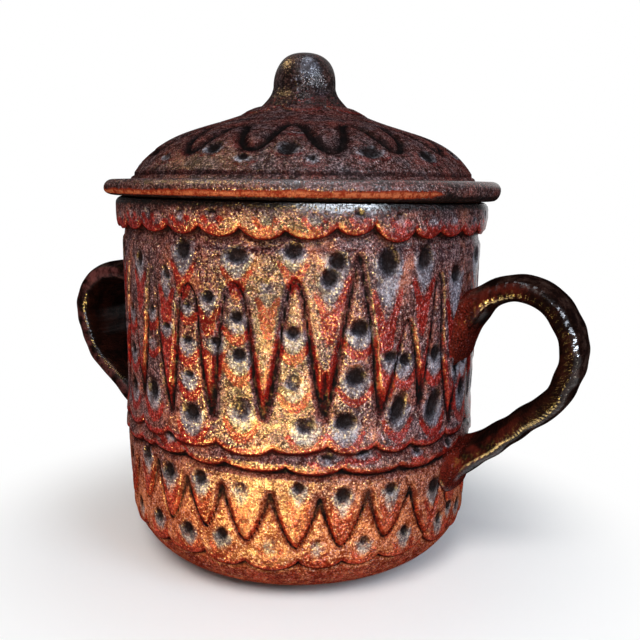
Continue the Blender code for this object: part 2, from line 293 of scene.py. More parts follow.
# Shader sums
class Wire:  # one socket of a material; sums on it add Math nodes
    def __init__(self, tree, socket=None):
        self.tree = tree
        self.socket = socket

    def node(self, kind, settings, sockets, out=0):
        made = self.tree.nodes.new(kind)
        for name, value in settings.items():
            setattr(made, name, value)
        for name, value in sockets.items():
            if isinstance(value, Wire):
                self.tree.links.new(value.socket, made.inputs[name])
            else:  # a tuple is a colour
                made.inputs[name].default_value = (*value, 1.0) if isinstance(value, tuple) else value
        return Wire(self.tree, made.outputs[out] if len(made.outputs) else None)

    def maths(self, operation, *values):
        return self.node("ShaderNodeMath", {"operation": operation}, dict(enumerate(values)))

    def __add__(self, other):
        return self.maths("ADD", self, other)

    def __sub__(self, other):
        return self.maths("SUBTRACT", self, other)

    def __rsub__(self, other):
        return self.maths("SUBTRACT", other, self)

    def __mul__(self, other):
        return self.maths("MULTIPLY", self, other)

    __radd__ = __add__
    __rmul__ = __mul__

    def most(self, other):
        return self.maths("MAXIMUM", self, other)

    def rise(self, low, high):  # 0 up to low, 1 from high on
        return self.node("ShaderNodeMapRange", {"interpolation_type": "SMOOTHSTEP"},
                         {"Value": self, "From Min": low, "From Max": high})

    def tint(self, first, second):  # the first colour where this is 0, the second where it is 1
        return self.node("ShaderNodeMix", {"data_type": "RGBA"}, {0: self, 6: first, 7: second}, out=2)

    def noise(self, point, size, detail=2.0, roughness=0.5):  # size in millimetres
        return self.node("ShaderNodeTexNoise", {}, {"Vector": point, "Scale": 1 / (size * mm),
                                                    "Detail": detail, "Roughness": roughness})

    def cells(self, point, size):
        return self.node("ShaderNodeTexVoronoi", {}, {"Vector": point, "Scale": 1 / (size * mm)})

    def mask(self, name):
        return self.node("ShaderNodeAttribute", {"attribute_name": name}, {}, out="Fac")


def newFinish(name):
    material = bpy.data.materials.new(name)
    material.use_nodes = True
    material.node_tree.nodes.clear()
    return material, Wire(material.node_tree)


def finishWith(wire, surface):
    wire.node("ShaderNodeOutputMaterial", {}, {"Surface": surface})


def twoCoats(wire, look, colour, normal, wetRough, share):  # matt glaze, wet and shiny where share is 1
    dull, shiny = (wire.node("ShaderNodeBsdfPrincipled", {}, {
        "Base Color": colour, "Roughness": rough, "Specular IOR Level": shine, "Normal": normal})
        for rough, shine in ((look["dullRough"], look["dullShine"]), (wetRough, look["wetShine"])))
    finishWith(wire, wire.node("ShaderNodeMixShader", {}, {0: share, 1: dull, 2: shiny}))


# Fired glaze: linear colours, sizes in millimetres, and spans over which a mask comes in
glaze = {
    "deep": (0.022, 0.0050, 0.0044), "rose": (0.23, 0.071, 0.064), "paintedGlint": (0.72, 0.49, 0.47),
    "emberDeep": (0.150, 0.020, 0.006), "ember": (0.62, 0.185, 0.066),
    "ironDeep": (0.060, 0.003, 0.002), "iron": (0.34, 0.011, 0.006), "warmIron": (0.50, 0.040, 0.010),
    "paleDeep": (0.055, 0.040, 0.052), "pale": (0.33, 0.33, 0.41), "warmPale": (0.40, 0.33, 0.29),
    "black": (0.005, 0.004, 0.004), "brown": (0.050, 0.018, 0.009), "liner": (0.050, 0.016, 0.009),
    "clay": (0.31, 0.098, 0.044), "clayDeep": (0.13, 0.014, 0.006),
    "grain": 0.85, "fine": 0.55, "mottle": 9.0, "wobble": 1.3, "patch": 3.0, "clump": 1.8,
    "emberWobble": 9, "grainHeight": 0.27, "reliefShare": 0.9,
    "paintedGlintShare": 0.50, "coolShare": 0.30, "warmShare": 0.42, "paintedSheenShare": 0.5,
    "beadSpan": (0.10, 0.60), "speckSpan": (0.02, 0.74), "paintedGlintSpan": (0.60, 0.72),
    "warmSpan": (0.54, 0.74), "coolSpan": (0.36, 0.62), "ironSpan": (0.32, 0.78), "haloSpan": (0.28, 1.12),
    "pitSpan": (0.62, 1.32), "grooveSpan": (0.38, 1.25), "besideSpan": (1.2, 2.6), "bareSpan": (0.42, 0.62),
    "sheenSpan": (0.42, 0.72), "faceOn": (0.45, 0.95),
    "dullRough": 0.55, "dullShine": 0.0, "wetRough": 0.22, "wetShine": 0.24, "wetShare": 1.0,
}


def speckledGlaze(wire, look, emberBelow):
    point = wire.node("ShaderNodeTexCoord", {}, {}, out="Object")
    wobble = wire.noise(point, look["wobble"], 3.0, 0.6) - 0.5
    mottle = wire.noise(point, look["mottle"], 3.0, 0.6)
    fine = wire.noise(point, look["fine"], 2.0, 0.7)
    bead = 1 - wire.cells(point, look["grain"]).rise(*look["beadSpan"])
    patch = wire.noise(point, look["patch"], 2.0, 0.5) - 0.5
    clump = wire.noise(point, look["clump"], 3.0, 0.6)
    speck = (bead * 0.35 + fine * 1.2 + clump * 1.1 + (mottle - 0.5) * 0.7 - 0.95).rise(*look["speckSpan"])
    # Painted glints: whitish specks put into the colour where grains would catch the light
    paintedGlint = wire.noise(point, look["fine"] * 0.8, 1.0, 0.5).rise(*look["paintedGlintSpan"]) * look["paintedGlintShare"]

    # The ground: dark glaze with paler grains; orange towards the foot, partly painted warm light
    warm = mottle.rise(*look["warmSpan"]) * look["warmShare"]
    ironTone, paleTone = look["iron"], look["pale"]
    if emberBelow:
        # The red and the pale runs also turn warmer towards the foot: partly painted warm light
        height = wire.node("ShaderNodeSeparateXYZ", {}, {"Vector": point}, out="Z")
        low = (height + wobble * (look["emberWobble"] * mm)).rise(emberBelow[0] * mm, emberBelow[1] * mm)
        warm = warm.most(low)
        ironTone = low.tint(look["iron"], look["warmIron"])
        paleTone = low.tint(look["pale"], look["warmPale"])
    ground = warm.tint(speck.tint(look["deep"], look["rose"]), speck.tint(look["emberDeep"], look["ember"]))
    cool = (0.9 - mottle + patch * 0.5).rise(*look["coolSpan"]) * (1 - warm) * look["coolShare"]
    # Painted pale sheen where the sheen mask lies
    cool = cool.most(wire.mask("sheen") * look["paintedSheenShare"])
    ground = cool.tint(ground, speck.tint(look["paleDeep"], look["pale"]))
    iron = (wire.mask("iron") + wobble * 0.9 + (fine - 0.5) * 0.5 + patch * 0.5).rise(*look["ironSpan"])
    ground = (iron * 0.95).tint(ground, (speck * 0.9 + 0.1).tint(look["ironDeep"], ironTone))
    halo = (wire.mask("halo") + wobble * 1.2 + (fine - 0.5) * 0.5 + patch * 0.9).rise(*look["haloSpan"])
    ground = halo.tint(ground, (speck + 0.06).tint(look["paleDeep"], paleTone))
    # Painted glints on the grains
    ground = (paintedGlint * (1 - iron * 0.75) * clump.rise(0.35, 0.6)).tint(ground, look["paintedGlint"])

    # Pits, cut lines, painted shadow lines under the ledges and painted soft shade
    depth = wire.mask("dark")
    pit = (1 - (wire.mask("pit") + wobble * 0.5).rise(*look["pitSpan"])) * depth.rise(0.0, 0.75)
    centre = (1 - wire.mask("pit").rise(0.15, 0.7)) * (1 - depth.rise(0.7, 1.05)) * speck
    ground = (pit * 0.92).tint(ground, centre.tint(look["black"], look["brown"]))
    groove = (1 - (wire.mask("groove") + wobble * 1.3).rise(*look["grooveSpan"])) * (patch * 1.2 + 0.95)
    ground = groove.tint(ground, look["black"])
    shade = wire.mask("shade") + wobble * wire.mask("shade") * 0.9
    ground = (shade * 0.92).tint(ground, look["black"])

    # The darker glaze inside, and bare clay
    ground = wire.mask("inside").tint(ground, (mottle * 0.8).tint(look["liner"], look["emberDeep"]))
    bare = (wire.mask("clay") + wobble * 1.0).rise(*look["bareSpan"])
    clay = (fine * 1.6 + wobble * 2.0 + patch * 1.4 - 0.35).rise(0.0, 0.8)
    clay = clay * wire.mask("clay").rise(0.60, 1.0)
    colour = bare.tint(ground, clay.tint(look["clayDeep"], look["clay"]))

    hidden = (1 - (wire.mask("groove") + wobble).rise(*look["besideSpan"])) * 0.95
    hidden = pit.most(hidden).most(groove)
    grains = (bead * 0.7 + fine * 0.8) * (1 - hidden * 0.7) * (1 - wire.mask("inside") * 0.85)
    grains = grains * (1 - wire.mask("gloss") * 0.4) * (1 - wire.mask("sheen") * 0.7)
    height = grains * look["grainHeight"] + wire.mask("relief") * look["reliefShare"]
    normal = wire.node("ShaderNodeBump", {}, {"Distance": mm, "Height": height})
    wet = (speck * 0.5 + bead * 0.25 + paintedGlint * 0.5 + 0.05) * (1 - hidden) * (1 - bare) * (1 - shade)
    return colour, normal, wet, mottle


def glazedMaterial(name, look, emberBelow=None):
    material, wire = newFinish(name)
    colour, normal, wet, mottle = speckledGlaze(wire, look, emberBelow)
    facing = wire.node("ShaderNodeLayerWeight", {}, {"Blend": 0.5}, out="Facing")
    share = wet * look["wetShare"] * (1 - facing.rise(*look["faceOn"]) * 0.9)
    share = share.most(wire.mask("sheen") * facing.rise(*look["sheenSpan"]) * 0.9).most(wire.mask("gloss"))
    twoCoats(wire, look, colour, normal, mottle * 0.2 + (look["wetRough"] - 0.1), share)
    return material


# Jar body
jar = {
    "columns": 480, "outerGap": 0.80, "innerGap": 5.0,
    "wallRadius": 60.0, "heelRadius": 58.7, "swell": 0.44, "heelHeight": 27.6, "heelReach": 31.8,
    "heelRoundness": 2.63, "wallThickness": 5.0, "floorThickness": 6.0,
    "footRadius": 40.5, "footRing": 6.5, "footRecess": 1.5, "footRounding": 0.6,
    "collarEdge": 113.9, "collarLip": 61.0, "collarTaper": 4.0, "collarRoot": 0.7, "collarDrop": 3.6,
    "rimRound": 2.4, "rimInside": 1.5,
    "grooveDepth": 0.55, "pitDepth": 0.85, "pitRim": 0.16, "dripLift": 0.40, "collarUndercut": 0.35,
    "unevenness": 0.12, "shadowThin": 0.35, "shadowThick": 1.7,
    "flameStroke": (0.85, 0.7, 0.45, 0.38, 0.45, 0.65, 0.8), "lowStroke": (0.9, 0.5, 0.4, 0.5),
    # Heights: between the zigzags, the ornament's lowest and highest, where the orange (partly painted warm
    # light) comes in
    "parting": 48, "ornament": (18, 104), "ember": (52, 26),
    # Degree windows: painted pale sheen, collar highlight, painted shade and redder glaze low on the right
    "sheenAt": (20, -24, -8, 12, 24), "glossAt": (-50, -18, -8, 5, 13), "lowShadeAt": (-61, 10, 38, 80, 110),
}

# A ledge's step out, swelling of a lobe, width of the cut under its edge, darkened as a painted shadow line,
# how far the painted soft shade runs down from its edge, and how far the red runs up from it
usualLedge = {"step": 0.60, "puff": 0.55, "cut": 0.75, "dusk": 1.3, "rust": 3.0}
# Scalloped edges. Front: angle, height and drop of the lobe after each notch seen in the photograph.
# Back: the middle and the drift of height and drop. Rows of points bend over above and below the edge.
ledges = {
    "collar": {
        "pitch": 11.0, "back": ((113.7, 0.3), (2.7, 0.4)), "above": 4.2, "below": 7.5,
        "step": 0.0, "puff": 0.33, "dusk": 2.4, "rust": 3.6,
        "front": [
            (-121.5, 113.6, 2.4), (-111.3, 113.8, 2.6), (-99.5, 113.9, 2.7), (-89, 114, 2.8),
            (-77, 113.7, 2.9), (-65, 113.3, 2.8), (-52, 114.3, 2.5), (-42, 114.9, 3.7), (-30, 113.5, 2.3),
            (-20.5, 113.2, 2.1), (-10, 113.4, 2.4)]},
    "belt": {
        "pitch": 14.6, "back": ((52.0, 0.5), (2.5, 0.3)), "above": 5.5, "below": 3.2,
        "front": [
            (-115.5, 52.6, 2.8), (-102.4, 52.4, 2.6), (-84.6, 52.2, 2.7), (-68.5, 51.4, 1.8),
            (-53, 52.4, 2.5), (-39.3, 52, 2.6), (-27.4, 51, 2.3), (-12, 50.8, 2.6)]},
    "hem": {
        "pitch": 14.0, "back": ((46.2, 0.6), (2.0, 0.3)), "above": 3.0, "below": 5.5, "cut": 1.0,
        "front": [
            (-116, 46.8, 1.6), (-108.5, 46.9, 1.8), (-95.3, 47.4, 2.3), (-82.2, 46.6, 1.9),
            (-64.5, 46.1, 2.2), (-48.9, 45.7, 1.9), (-31, 44.4, 1.5), (-16.5, 43.6, 1.2)]},
    "foot": {
        "pitch": 14.0, "back": ((16.8, 0.4), (2.6, 0.3)), "above": 6.5, "below": 6.5,
        "front": [
            (-118.5, 17, 2.6), (-105.4, 16.6, 2.4), (-90, 16.7, 2.6), (-76.8, 16, 2.8), (-60.8, 16.6, 2.3),
            (-47.7, 16.4, 2.2), (-35.8, 16.8, 3), (-18, 18.4, 3.4)]},
}

# Tall flames: angle and height of the top, half width near the top and at mid height
flames = {"back": ((99.5, 3.5), (2.0, 0.5), (4.0, 0.4)), "front": [
    (-108.4, 100.4, 1.9, 3.3), (-93.6, 97.2, 2.9, 4.2), (-79, 98.2, 3, 4.8), (-62.5, 99.6, 2.1, 4.2),
    (-45.5, 106.4, 1.2, 4.2), (-30, 87.8, 1.5, 3.6), (-18.5, 100.6, 1.6, 2.7)]}
# Points where two flames meet: angle, height, half width of the dark pocket there
pockets = {"pitch": 14.9, "back": ((60.5, 2.0), (1.0, 0.5)), "front": [
    (-115.4, 61, 0.9), (-100.8, 58.9, 0.9), (-85.8, 59.8, 1.3), (-70.8, 60.5, 0.5), (-54.2, 61.6, 1.9),
    (-37.9, 60.9, 0.7), (-24.3, 62.2, 1.5), (-9.2, 53.6, 1.1)]}
# Lower zigzag: angle and height of its tops and bottoms
lowTops = {"back": ((37.6, 1.2),), "front": [
    (-108.4, 40.8), (-95.6, 38.7), (-83.4, 38.4), (-68.9, 37.2), (-54.8, 36), (-40.5, 37.2), (-26.2, 36)]}
lowBottoms = {"pitch": 13.8, "back": ((22.4, 1.3),), "front": [
    (-115.5, 26.5), (-102.4, 23.9), (-88.7, 24.8), (-76, 22.2), (-61.6, 20.9), (-48.5, 20.9), (-34.8, 22.1),
    (-18.5, 19.2)]}

# Dots: angle, height, half width, half height, lean, fall of the pale run, darkness
frontDots = [  # between the flames
    (-115, 103, 1.8, 2.6, 8, 9, 1), (-101.4, 99.9, 1.2, 2.4, -25, 10, 0.8), (-95, 107, 2.7, 2.8, 0, 9, 1),
    (-78.2, 106.2, 3.1, 2.3, 0, 8, 0.85), (-69.7, 98.3, 1.4, 1.6, 0, 8, 0.35),
    (-63, 107.8, 2.5, 2.2, 0, 7, 0.75), (-51.6, 105.2, 2.2, 2.6, 15, 9, 1),
    (-53.4, 100.7, 2.2, 2.8, 15, 11, 1), (-37.3, 105, 2.9, 4.1, 0, 19, 1),
    (-25.3, 105.6, 2.4, 3.7, 16, 13, 1), (-10.8, 100.2, 2.7, 2.9, 8, 17, 1)]
frontDots += [  # in the flames
    (-109, 88.6, 1.4, 1.2, 0, 5, 0.8), (-109, 79, 1.3, 0.9, 0, 4, 0.3), (-109.2, 63.8, 2.5, 3, 0, 8, 1),
    (-101.4, 84.3, 1.6, 0.9, 0, 5, 0.7), (-93.6, 91.2, 1.1, 0.9, 0, 4, 0.7),
    (-93.7, 81.2, 1.7, 1.1, 0, 6, 0.9), (-93.3, 71, 1.7, 1, 0, 6, 0.9), (-92.8, 59.8, 2.8, 2.5, 0, 8, 1),
    (-86.5, 94.3, 1.8, 1.7, 0, 7, 0.9), (-84.3, 81.8, 1.6, 1.2, 0, 6, 0.8),
    (-78.2, 89, 1.7, 1.5, 0, 6, 0.9), (-77.5, 78.4, 2, 1.8, 0, 7, 0.9), (-77, 62.8, 2.6, 3.2, 0, 8, 0.55),
    (-62.9, 85.4, 1.9, 1.7, 0, 7, 0.9), (-62.6, 71.4, 2, 2.2, 0, 7, 0.5),
    (-59.2, 58.6, 2.6, 2.1, 0, 7, 0.6), (-44.8, 86.4, 2.6, 2.4, 0, 7, 1), (-45.7, 72.6, 2.8, 2.6, 0, 7, 1),
    (-48.2, 59.6, 2.8, 2.5, 0, 8, 1), (-35.5, 77.8, 1.9, 1.5, -15, 7, 1), (-30.6, 76.4, 2, 1.9, 0, 7, 1),
    (-32.2, 62.2, 2.4, 4.4, 22, 8, 1), (-18.6, 77, 2.3, 2.5, 8, 8, 1), (-18.5, 61, 2.9, 5, 18, 8, 1),
    (-7.2, 72, 2.6, 2.7, 10, 9, 1)]
frontDots += [  # on the belt
    (-101.2, 50.9, 1.9, 1.1, 0, 2.5, 0.9), (-53, 48.9, 1.9, 0.9, 0, 2.5, 0.9),
    (-42.7, 49.9, 2, 0.9, 0, 2.5, 1), (-24.8, 47.9, 1.6, 0.8, 0, 2.5, 0.8),
    (-10.2, 47.2, 1.5, 1.3, 0, 2.5, 1)]
frontDots += [  # on the hem
    (-114, 42, 2.3, 2.1, 0, 9, 0.9), (-102.4, 39.7, 2.4, 2.4, 0, 9, 1), (-90.2, 40.3, 2.1, 2.2, 0, 9, 1),
    (-77.4, 39, 1.6, 1.6, 0, 8, 0.45), (-60.8, 40, 1.5, 1.6, 0, 9, 0.9), (-48.3, 37.6, 2.1, 2.2, 0, 9, 1),
    (-33.5, 37.7, 1.9, 1.7, 0, 9, 0.9), (-15.9, 34.6, 2.8, 2.5, 0, 9, 1)]
frontDots += [  # over the foot
    (-109, 23, 2.1, 1.8, 0, 6, 0.9), (-95.7, 22.6, 2.2, 2, 0, 6, 0.95), (-83.5, 23.6, 1.8, 1.9, 0, 6, 1),
    (-68.9, 23.3, 1.2, 1.3, 0, 6, 0.3), (-55.4, 22.6, 1, 1.4, 0, 6, 0.4),
    (-41.3, 22.4, 1.5, 1.3, 0, 6, 0.6), (-27.5, 22.8, 1.3, 1.8, 0, 7, 0.95),
    (-5.5, 24.6, 1.8, 1.6, 0, 6, 0.8)]
frontDots += [(angle, 117.5 + lift, wide, 0.7, 0, 2.6, 0.95) for angle, lift, wide in (  # on the collar
    (-116, 0, 1), (-106.6, 0.1, 1), (-94.5, 0, 1.3), (-84.3, 0.2, 1.5), (-70, -0.3, 1.3),
    (-57.8, -0.2, 1.3), (-46.6, 0.6, 1.3), (-35.3, 0, 1.2), (-24.6, -0.3, 1.4), (-16, -0.4, 1.1))]
# The same rows on the side that the photograph doesn't show: height, half width, half height, fall, darkness
backDots = {
    "pockets": [(105.5, 2.6, 2.9, 11, 1.0), (83.0, 1.6, 1.3, 6, 0.8)],
    "flames": [(62.0, 2.7, 2.9, 8, 1.0), (74.5, 2.0, 1.7, 7, 0.95), (86.0, 1.5, 1.4, 6, 0.85)],
    "lowBottoms": [(39.0, 2.2, 2.2, 9, 1.0)],
    "lowTops": [(22.8, 1.8, 1.8, 6, 0.9)],
    "collar": [(117.5, 1.2, 0.7, 2.6, 0.95)],
}


def wallOutline():
    wall = []
    low, top = jar["heelHeight"], jar["collarEdge"] - jar["collarDrop"]
    for share in np.linspace(1, 0, 12):
        radius = jar["heelRadius"] + (jar["wallRadius"] - jar["heelRadius"]) * share
        wall.append((radius + jar["swell"] * 4 * share * (1 - share), low + (top - low) * share))
    inset = 1 - (jar["heelRadius"] - jar["footRadius"]) / jar["heelReach"]
    lastTurn = 2 / math.pi * math.acos(inset ** (jar["heelRoundness"] / 2))
    centre = (jar["heelRadius"] - jar["heelReach"], low)
    heel = roundedArc(centre, (jar["heelReach"], low), 0, -lastTurn, 60, jar["heelRoundness"])
    return evenly(joined(wall, heel), jar["outerGap"])


def jarOutline():
    mouth, top = jar["wallRadius"] - jar["wallThickness"], jarHigh.z
    bead, lip = jar["rimInside"], jar["rimRound"]
    curve = roundedArc((jar["heelRadius"] - jar["heelReach"], jar["heelHeight"]),
                       (jar["heelReach"] - jar["wallThickness"], jar["heelHeight"] - jar["floorThickness"]),
                       -1, 0, 24, jar["heelRoundness"])
    inside = joined([(0, jar["floorThickness"])], curve, [(mouth, jar["collarEdge"])])
    rimIn = roundedArc((mouth + bead, top - bead), (bead, bead), 2, 1, 3)
    rimOut = roundedArc((jarHigh.x - lip, top - lip), (lip, lip), 1, 0, 4)
    taper = roundedArc((jar["collarLip"], jar["collarEdge"] + jar["collarTaper"]),
                       (jarHigh.x - jar["collarLip"], jar["collarTaper"]), 0, -1, 5)
    root, end = ((jar["wallRadius"], jar["collarEdge"] - jar[way]) for way in ("collarRoot", "collarDrop"))
    drop = evenly([root, end], jar["outerGap"])
    ring, recess = jar["footRadius"] - jar["footRing"], jar["footRecess"]
    foot = [(jar["footRadius"] - jar["footRounding"], 0), (ring, 0), (ring - recess, recess),
            (ring / 2, recess), (0, recess)]
    return joined(evenly(inside, jar["innerGap"]), rimIn, rimOut, taper, [root], drop, wallOutline(), foot)


def flameLine(flame, before, after):  # from one pocket up over the flame's top and down to the next pocket
    angle, top, narrow, wide = flame
    sides = []
    for (pocketAngle, pocketHeight, _), way in ((before, -1), (after, 1)):
        drop = top - pocketHeight
        bulge = angle + way * wide
        sides.append([(angle + way * narrow, top - 0.13 * drop), (bulge, top - 0.5 * drop),
                      (bulge + 0.45 * (pocketAngle - bulge), pocketHeight + 0.2 * drop),
                      (pocketAngle - way * 0.3, pocketHeight)])
    tip = [(angle + way * 0.25 * narrow, top - 0.3) for way in (-1, 1)]
    return smoothLine(sides[0][::-1] + tip + sides[1], 6)


def lowLeg(top, bottom):  # steep at the top, round at the bottom
    share = np.linspace(0, 1, 14)
    return np.stack([top[0] + (bottom[0] - top[0]) * share,
                     bottom[1] + (top[1] - bottom[1]) * (1 - share) ** 1.6], axis=1)


def heightOfLine(angle, line):  # height of a line that goes once round, at each angle
    line = line[np.argsort(line[:, 0])]
    return np.interp(line[0, 0] + (angle - line[0, 0]) % 360, line[:, 0], line[:, 1])


def scallops(angle, height, outside):  # the ledges with their edge lines, and the rows of points that follow
    wallRows = np.unique(np.round(height[outside], 3))
    edges = {}
    for name, ledge in ledges.items():
        notches = goRound(ledge)
        line = lobedEdge(angle, notches)
        nearestRow = wallRows[np.argmin(np.abs(wallRows - np.median(line)))]
        row = jar["collarEdge"] if name == "collar" else nearestRow
        hang = lobedEdge(angle, [(a, h, 0) for a, h, drop in notches]) - line  # 0 at a notch, most mid lobe
        edges[name] = {**usualLedge, **ledge, "notches": notches, "line": line, "row": row, "hang": hang}
    return edges


def cutWaves(angle, height, perDegree, groove):
    # Cuts the flames and the lower zigzag. Returns both lines and the angles that the back's dots stand at.
    meets = goRound(pockets)
    newFlames = [(a, *drifted(flames)) for a in between(meets, len(flames["front"]))]
    closing = meets + [(meets[0][0] + 360, *meets[0][1:])]
    upper = []
    for flame, before, after in zip(flames["front"] + newFlames, closing, closing[1:]):
        upper.append(flameLine(flame, before, after))
        strokeDistance(angle, height, upper[-1], jar["flameStroke"], perDegree, groove)
    for pocketAngle, pocketHeight, wide in meets:
        line = np.array([(pocketAngle, pocketHeight + 0.4), (pocketAngle, pocketHeight + 3.5 + 4.5 * wide)])
        strokeDistance(angle, height, line, (0.8 * wide, 0.35), perDegree, groove)
    bottoms = goRound(lowBottoms)
    newTops = [(a, *drifted(lowTops)) for a in between(bottoms, len(lowTops["front"]))]
    lowClosing = bottoms + [(bottoms[0][0] + 360, bottoms[0][1])]
    lower = []
    for k, top in enumerate(lowTops["front"] + newTops):
        for bottom in lowClosing[k:k + 2]:
            lower.append(lowLeg(top, bottom))
            strokeDistance(angle, height, lower[-1], jar["lowStroke"], perDegree, groove)
    backs = {"pockets": meets[len(pockets["front"]):], "flames": newFlames,
             "lowBottoms": bottoms[len(lowBottoms["front"]):], "lowTops": newTops}
    angles = {name: [entry[0] for entry in row] for name, row in backs.items()}
    return np.concatenate(upper), np.concatenate(lower), angles


def allDots(backs):  # the photograph's dots, then the back's, each a little different
    dots = list(frontDots)
    for name, row in backDots.items():
        for centre in backs[name]:
            for height, wide, high, fall, dark in row:
                dots.append((centre + drift(0.8), height + drift(1.5), wide * (1 + drift(0.2)),
                             high * (1 + drift(0.2)), drift(10), fall * (1 + drift(0.15)),
                             min(1.0, dark + drift(0.15))))
    return dots


def pressed(pit, dark, depth, rim):  # a dot pressed into the clay, with the rim that it pushed up
    hollow = np.clip(1 - (pit / 1.05) ** 2, 0, 1) ** 0.8
    return dark * (rim * np.exp(-((pit - 1.3) / 0.28) ** 2) - depth * hollow)


def makeJarBody():
    piece = turnOutline("jarBody", jarOutline(), jar["columns"])
    places, faces, angle, radius = readTurned(piece)
    height = places[:, 2].copy()
    outside = (faces[:, 0] * places[:, 0] + faces[:, 1] * places[:, 1] > 0.05 * radius) & (height > 0.3)
    outside &= radius > jar["footRadius"] - 1.0
    perDegree = np.full(angle.shape, math.radians(1) * jar["wallRadius"])
    top, (low, high) = jarHigh.z, jar["ornament"]

    # Rows of points follow the scalloped edges, so that each ledge is crisp
    edges = scallops(angle, height, outside)
    moved = height.copy()
    for name, edge in edges.items():
        over = height - edge["row"]
        far = np.where(over > 0, over / edge["above"], -over / edge["below"])
        if name == "collar":
            far = np.where((over <= 0) & (over > -1.1 * jar["collarRoot"]), 0, far)
        moved += np.where(outside, (edge["line"] - edge["row"]) * (1 - easy(far, 0, 1)), 0)
    places[:, 2] = height = moved

    # The ornament's lines and the ledges: cut, painted shadow line and painted shade under each edge, red,
    # relief
    groove = np.full(angle.shape, farGroove)
    upperWave, lowerWave, backs = cutWaves(angle, height, perDegree, groove)
    backs["collar"] = between(edges["collar"]["notches"], len(ledges["collar"]["front"]) - 1)
    shade, rust, lift = (np.zeros(angle.shape) for _ in range(3))
    for edge in edges.values():
        over = height - edge["line"]
        # A painted shadow line in the cut under each ledge, and painted soft shade below it
        thick = jar["shadowThin"] + jar["shadowThick"] * np.exp(-edge["hang"] / 1.7) * edge["cut"]
        found = np.abs(-over - 0.45 * thick) / (0.62 * thick)
        groove = np.where(outside & (over < 0.4), np.minimum(groove, found), groove)
        shade = most(shade, (over < 0.1) * 0.9 * np.exp(-np.clip(-over, 0, 60) / edge["dusk"]))
        rust = most(rust, (over > -0.2) * (1 - easy(over, 0.8, edge["rust"])))
        lift += edge["step"] * (over > -0.05) * (1 - easy(over, 1.5, 7.0))
        puff = edge["puff"] * (edge["hang"] / 2.6 - 0.6)
        lift += puff * (over > -0.05) * np.exp(-np.clip(over, 0, 60) / 3.2)
    underCollar, underFoot = (edges[name]["line"] - height for name in ("collar", "foot"))

    def inDrips(places, heights):
        return np.where(heights > jar["parting"], heights > heightOfLine(places, upperWave),
                        heights > heightOfLine(places, lowerWave))

    inDrip = inDrips(angle, height)
    pit, dark, halo, iron = spots(angle, height, perDegree, allDots(backs),
                                  lambda a, h: bool(inDrips(np.array(a), h)))

    # Red edges of the drips, over each ledge and down the sides of each drip
    tip = np.where(height > jar["parting"], easy(-height, -98, -66), easy(-height, -36, -27))
    beside = (1 - easy(groove, 1.2 + 1.6 * tip, 2.6 + 4.0 * tip)) * (0.30 + 0.62 * tip)
    iron = most(iron, rust, np.where(inDrip, beside, 0.25 * beside) * (height > low) * (height < high))
    iron *= (1 - 0.8 * halo * (groove > 1.2)) * (1 - 0.10 * easy(-height, -60, -30) * (height > low))
    # Painted shade: the rim's rounding under the lid, under the foot ledge and low on the right, the last
    # two redder
    topEdge = easy(height, top - 2.2, top - 1.6)
    heel = easy(underFoot, 0.3, 2.0)
    lowRight = window(angle, *jar["lowShadeAt"]) * (1 - easy(height, 44, 52))
    iron = most(iron, 0.6 * heel, 0.34 * lowRight)
    # Painted shade round the pits, beside the cut lines, below the rim, down the upper wall and on the
    # collar
    shade = most(shade, 0.55 * dark * (1 - easy(pit, 0.95, 1.75)), 0.38 * (1 - easy(groove, 0.8, 2.4)),
                 0.97 * topEdge, 0.55 * easy(height, top - 5.0, top - 2.5),
                 0.20 * easy(height, 70, 100) * (height < 113), 0.13 * (height > 113.5),
                 0.30 * heel, 0.20 * lowRight)

    # Relief
    lift += pressed(pit, dark, jar["pitDepth"], jar["pitRim"])
    lift -= jar["grooveDepth"] * np.clip(1 - (groove / 1.35) ** 2, 0, 1)
    lift += jar["dripLift"] * easy(groove, 0.8, 2.6) * inDrip * (height > low) * (height < high + 4)
    lift -= jar["collarUndercut"] * np.where(underCollar > 0.5, 1 - easy(underCollar, 1.0, 5.0), 0)
    lift += jar["unevenness"] * (np.sin(np.radians(2 * angle + 40)) * np.sin(height / 19)
                                 + np.sin(np.radians(3 * angle)) * np.sin(height / 11 + 1))
    lift *= outside
    places += faces * lift[:, None]
    spread = np.hypot(places[:, 0], places[:, 1])
    places[:, :2] *= np.minimum(1, (jarHigh.x - 0.01) / np.maximum(spread, 1))[:, None]
    writePoints(piece, places)

    # Where the clay is bare, the inside, where the glaze shines, and the painted pale sheen
    inner = (~outside) & (radius < jar["wallRadius"] - 3) & (height > 2)
    seat = easy(height, top - 0.5, top - 0.1) * (radius < jar["wallRadius"])
    footBare = (1 - easy(height, 1.6, 2.6)) * (radius < jar["footRadius"] + 3)
    halo *= 1 - 0.6 * np.exp(-(around(angle, -134) / 13) ** 2)
    sheen = window(angle, *jar["sheenAt"]) * easy(height, 24, 45)
    risen = np.arcsin(np.clip((height - top) / jar["rimRound"] + 1, 0, 0.9))
    lean = 0.135 * np.clip(height - top + 3.9, 0, 1.5)
    lean += jar["rimRound"] * np.log(np.cos(risen - 0.13) / math.cos(0.13))
    gloss = most(topEdge, 0.78 * easy(height, top - 3.7, top - 1.8))
    gloss *= 0.10 + 0.90 * window(angle, *jar["glossAt"])
    gloss *= 1 - 0.9 * dark * (1 - easy(pit, 1.2, 2.2))
    paint(piece, groove=groove, pit=pit, dark=dark, halo=halo * outside, iron=iron * outside,
          shade=shade * outside, clay=most(seat, footBare), inside=inner, relief=lift - lean,
          sheen=sheen * outside, gloss=gloss * outside)
    place(piece, "jar", "jar_glaze", glazedMaterial("wallGlaze", glaze, jar["ember"]), "jar_body")


makeJarBody()


